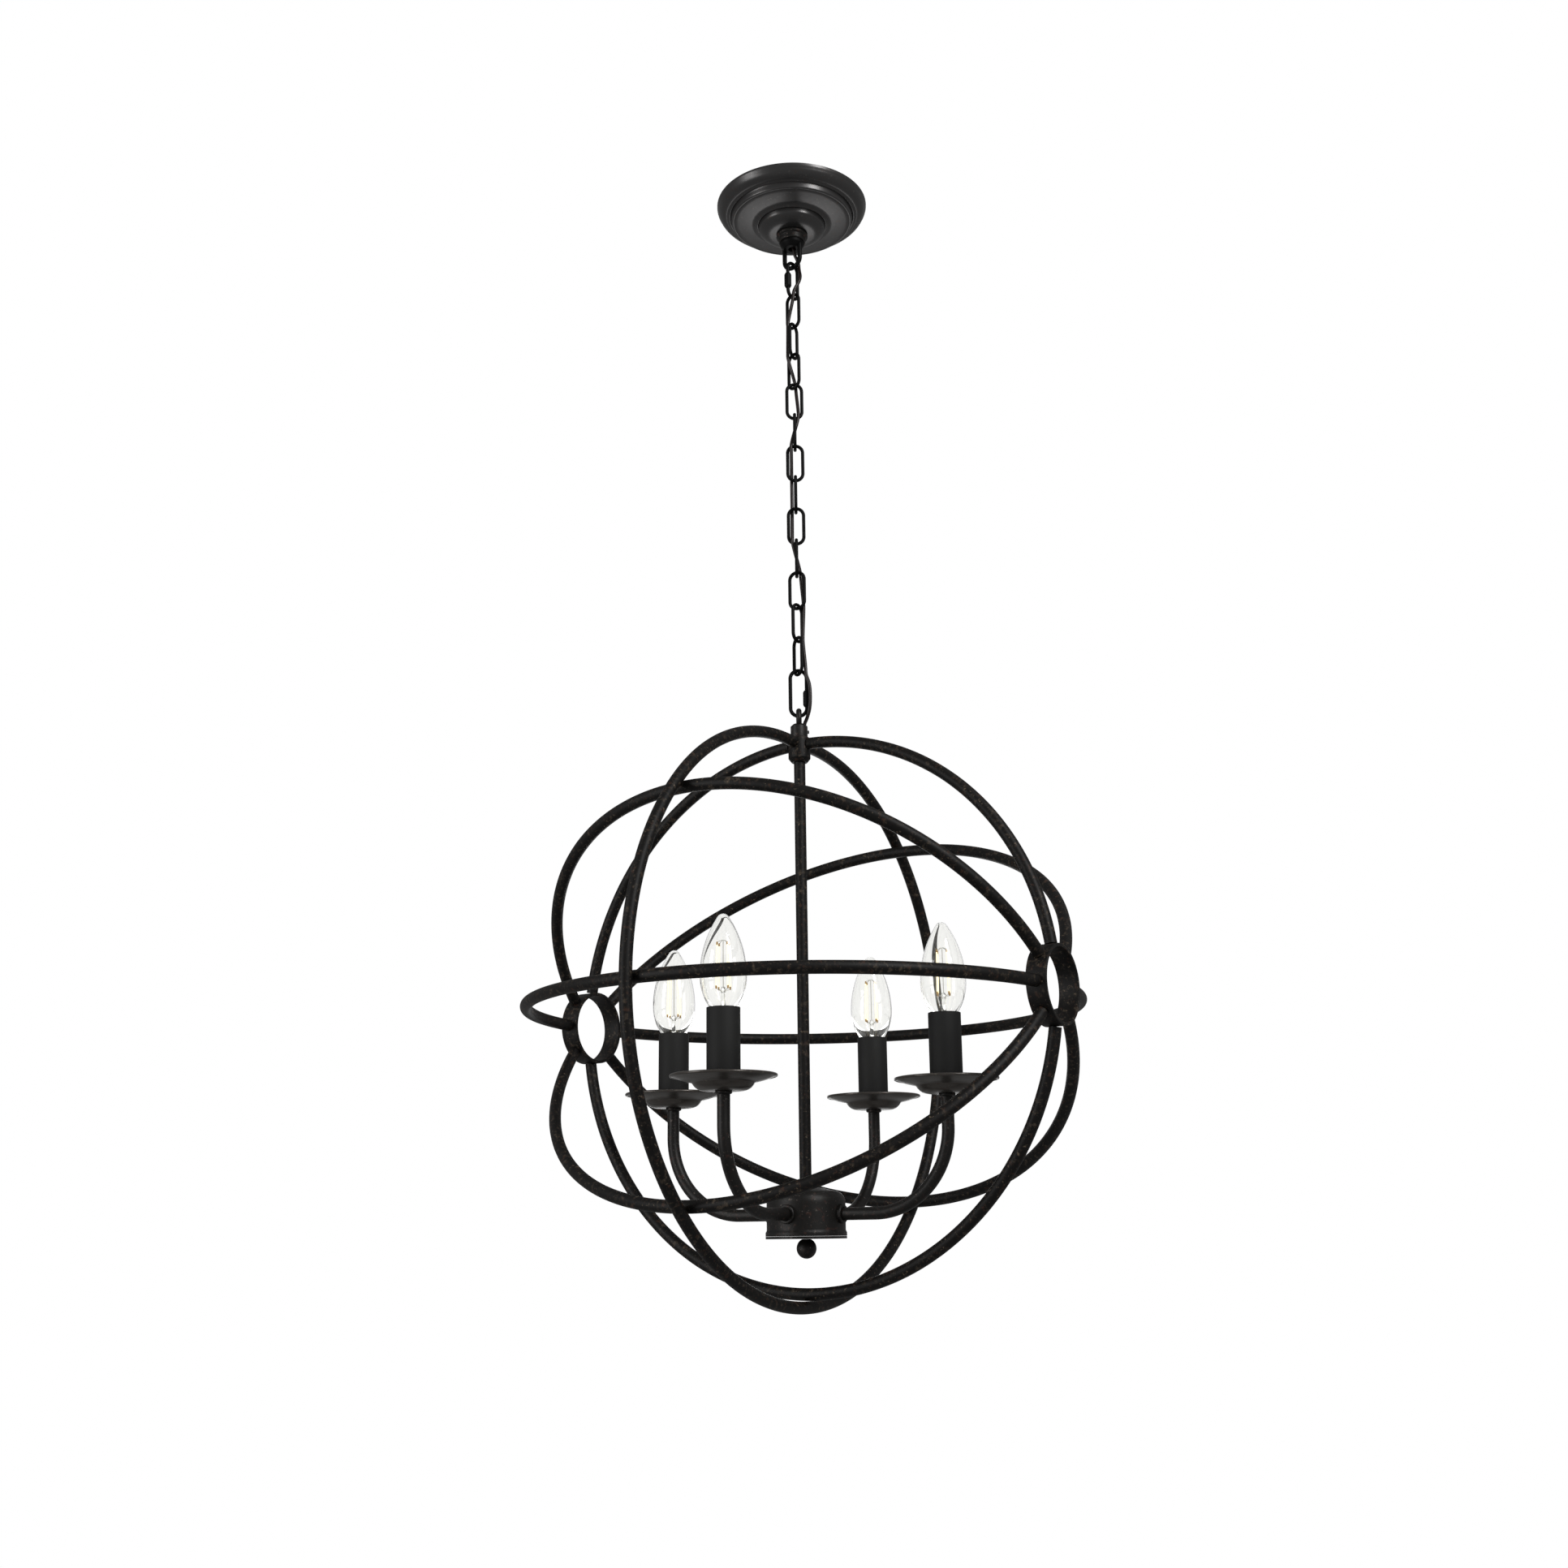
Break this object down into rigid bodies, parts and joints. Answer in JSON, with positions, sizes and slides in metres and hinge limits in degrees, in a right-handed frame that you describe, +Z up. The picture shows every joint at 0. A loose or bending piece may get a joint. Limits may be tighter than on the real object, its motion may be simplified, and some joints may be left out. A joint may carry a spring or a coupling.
{
  "type": "orb chandelier",
  "caption": "Hanging chandelier: a round cage of bent iron hoops round a candle-lamp cross, on a link chain with a woven cord and a stepped ceiling canopy.",
  "frame": {"origin": "on the chain's axis in the ceiling plane, where the strap meets the ceiling", "axes": "+Z up, +X along the axis of the cage's two hub rings and along the strap"},
  "size_m": [0.4458, 0.4628, 0.9514],
  "materials": {
    "strap_steel": "zinc plated",
    "ground_green": "satin",
    "canopy_bronze": "satin dark bronze",
    "chain_black": "near-black satin",
    "cord_brown": "dark brown, soft sheen",
    "iron_bronze": "rubbed dark bronze",
    "screw_steel": "dark",
    "saucer_bronze": "satin dark bronze",
    "sleeve_black": "matte black",
    "socket_shell": "dark phenolic",
    "bulb_clear": "clear",
    "bulb_cap": "plated"
  },
  "bodies": {
    "ceiling_mount": {"mounting_strap": "strap_steel", "ground_screw": "ground_green", "threaded_nipple": "strap_steel", "nipple_nuts": "strap_steel", "canopy_loop": "canopy_bronze", "supply_cord": "cord_brown"},
    "canopy_cover": {"canopy": "canopy_bronze", "collar_ring": "canopy_bronze"},
    "quick_link_top": {"quick_link_top": "chain_black"},
    "top_nut": {"quick_link_top_nut": "chain_black"},
    "chain_link_01": {"chain_link_01": "chain_black"},
    "chain_link_02": {"chain_link_02": "chain_black"},
    "chain_link_03": {"chain_link_03": "chain_black"},
    "chain_link_04": {"chain_link_04": "chain_black"},
    "chain_link_05": {"chain_link_05": "chain_black"},
    "chain_link_06": {"chain_link_06": "chain_black"},
    "chain_link_07": {"chain_link_07": "chain_black"},
    "chain_link_08": {"chain_link_08": "chain_black"},
    "chain_link_09": {"chain_link_09": "chain_black"},
    "chain_link_10": {"chain_link_10": "chain_black"},
    "chain_link_11": {"chain_link_11": "chain_black"},
    "chain_link_12": {"chain_link_12": "chain_black"},
    "quick_link_bottom": {"quick_link_bottom": "chain_black"},
    "bottom_nut": {"quick_link_bottom_nut": "chain_black"},
    "orb": {"fixture_eye": "iron_bronze", "coupler": "iron_bronze", "set_screw": "screw_steel", "centre_rod": "iron_bronze", "arm_hub": "iron_bronze", "hub_cap": "iron_bronze", "finial": "iron_bronze", "arm_1": "iron_bronze", "arm_2": "iron_bronze", "arm_3": "iron_bronze", "arm_4": "iron_bronze", "saucers": "saucer_bronze", "saucer_washers": "iron_bronze", "candle_sleeves": "sleeve_black", "lamp_sockets": "socket_shell", "hub_rings": "iron_bronze", "quarter_hoop_1": "iron_bronze", "quarter_hoop_2": "iron_bronze", "transverse_hoop": "iron_bronze", "half_hoop_1": "iron_bronze", "half_hoop_2": "iron_bronze", "half_hoop_3": "iron_bronze", "half_hoop_4": "iron_bronze", "half_hoop_5": "iron_bronze", "half_hoop_6": "iron_bronze", "half_hoop_7": "iron_bronze"},
    "bulb_1": {"bulb_glass_1": "bulb_clear", "bulb_base_1": "bulb_cap"},
    "bulb_2": {"bulb_glass_2": "bulb_clear", "bulb_base_2": "bulb_cap"},
    "bulb_3": {"bulb_glass_3": "bulb_clear", "bulb_base_3": "bulb_cap"},
    "bulb_4": {"bulb_glass_4": "bulb_clear", "bulb_base_4": "bulb_cap"}
  },
  "joints": [
    {"name": "quick_link_top_swing", "type": "hinge", "parent": "ceiling_mount", "child": "quick_link_top", "pos_m": [0, 0, -0.0611], "axis": [0.9951, -0.0993, 0], "range_deg": [-9, 9], "deforming": ["supply_cord"]},
    {"name": "chain_link_01_swing", "type": "hinge", "parent": "quick_link_top", "child": "chain_link_01", "pos_m": [0, 0, -0.0915], "axis": [0.0993, 0.9951, 0], "range_deg": [-9, 9], "deforming": ["supply_cord"]},
    {"name": "chain_link_02_swing", "type": "hinge", "parent": "chain_link_01", "child": "chain_link_02", "pos_m": [0, 0, -0.1206], "axis": [0.9951, -0.0993, 0], "range_deg": [-9, 9], "deforming": ["supply_cord"]},
    {"name": "chain_link_03_swing", "type": "hinge", "parent": "chain_link_02", "child": "chain_link_03", "pos_m": [0, 0, -0.1498], "axis": [-0.075, 0.9972, 0], "range_deg": [-9, 9], "deforming": ["supply_cord"]},
    {"name": "chain_link_04_swing", "type": "hinge", "parent": "chain_link_03", "child": "chain_link_04", "pos_m": [0, 0, -0.179], "axis": [0.9673, -0.2538, 0], "range_deg": [-9, 9], "deforming": ["supply_cord"]},
    {"name": "chain_link_05_swing", "type": "hinge", "parent": "chain_link_04", "child": "chain_link_05", "pos_m": [0, 0, -0.2082], "axis": [0.7955, 0.606, 0], "range_deg": [-9, 9], "deforming": ["supply_cord"]},
    {"name": "chain_link_06_swing", "type": "hinge", "parent": "chain_link_05", "child": "chain_link_06", "pos_m": [0, 0, -0.2374], "axis": [-0.5344, 0.8453, 0], "range_deg": [-9, 9], "deforming": ["supply_cord"]},
    {"name": "chain_link_07_swing", "type": "hinge", "parent": "chain_link_06", "child": "chain_link_07", "pos_m": [0, 0, -0.2666], "axis": [0.8453, 0.5344, 0], "range_deg": [-9, 9], "deforming": ["supply_cord"]},
    {"name": "chain_link_08_swing", "type": "hinge", "parent": "chain_link_07", "child": "chain_link_08", "pos_m": [0, 0, -0.2958], "axis": [-0.5344, 0.8453, 0], "range_deg": [-9, 9], "deforming": ["supply_cord"]},
    {"name": "chain_link_09_swing", "type": "hinge", "parent": "chain_link_08", "child": "chain_link_09", "pos_m": [0, 0, -0.325], "axis": [0.8453, 0.5344, 0], "range_deg": [-9, 9], "deforming": ["supply_cord"]},
    {"name": "chain_link_10_swing", "type": "hinge", "parent": "chain_link_09", "child": "chain_link_10", "pos_m": [0, 0, -0.3542], "axis": [-0.5344, 0.8453, 0], "range_deg": [-9, 9], "deforming": ["supply_cord"]},
    {"name": "chain_link_11_swing", "type": "hinge", "parent": "chain_link_10", "child": "chain_link_11", "pos_m": [0, 0, -0.3834], "axis": [-0.977, -0.213, 0], "range_deg": [-9, 9], "deforming": ["supply_cord"]},
    {"name": "chain_link_12_swing", "type": "hinge", "parent": "chain_link_11", "child": "chain_link_12", "pos_m": [0, 0, -0.4126], "axis": [-0.0471, -0.9989, 0], "range_deg": [-9, 9], "deforming": ["supply_cord"]},
    {"name": "quick_link_bottom_swing", "type": "hinge", "parent": "chain_link_12", "child": "quick_link_bottom", "pos_m": [0, 0, -0.4418], "axis": [0.8854, -0.4648, 0], "range_deg": [-9, 9], "deforming": ["supply_cord"]},
    {"name": "orb_swing", "type": "hinge", "parent": "quick_link_bottom", "child": "orb", "pos_m": [0, 0, -0.47805], "axis": [0.8453, 0.5344, 0], "range_deg": [-9, 9], "deforming": ["supply_cord"]},
    {"name": "canopy_drop", "type": "slide", "parent": "ceiling_mount", "child": "canopy_cover", "axis": [0, 0, 1], "range_m": [-0.022, 0]},
    {"name": "top_nut_screw", "type": "slide", "parent": "quick_link_top", "child": "top_nut", "axis": [0, 0, 1], "range_m": [0, 0.0039]},
    {"name": "bottom_nut_screw", "type": "slide", "parent": "quick_link_bottom", "child": "bottom_nut", "axis": [0, 0, 1], "range_m": [0, 0.0039]},
    {"name": "bulb_1_unscrew", "type": "slide", "parent": "orb", "child": "bulb_1", "axis": [0, 0, 1], "range_m": [0, 0.03]},
    {"name": "bulb_2_unscrew", "type": "slide", "parent": "orb", "child": "bulb_2", "axis": [0, 0, 1], "range_m": [0, 0.03]},
    {"name": "bulb_3_unscrew", "type": "slide", "parent": "orb", "child": "bulb_3", "axis": [0, 0, 1], "range_m": [0, 0.03]},
    {"name": "bulb_4_unscrew", "type": "slide", "parent": "orb", "child": "bulb_4", "axis": [0, 0, 1], "range_m": [0, 0.03]}
  ]
}
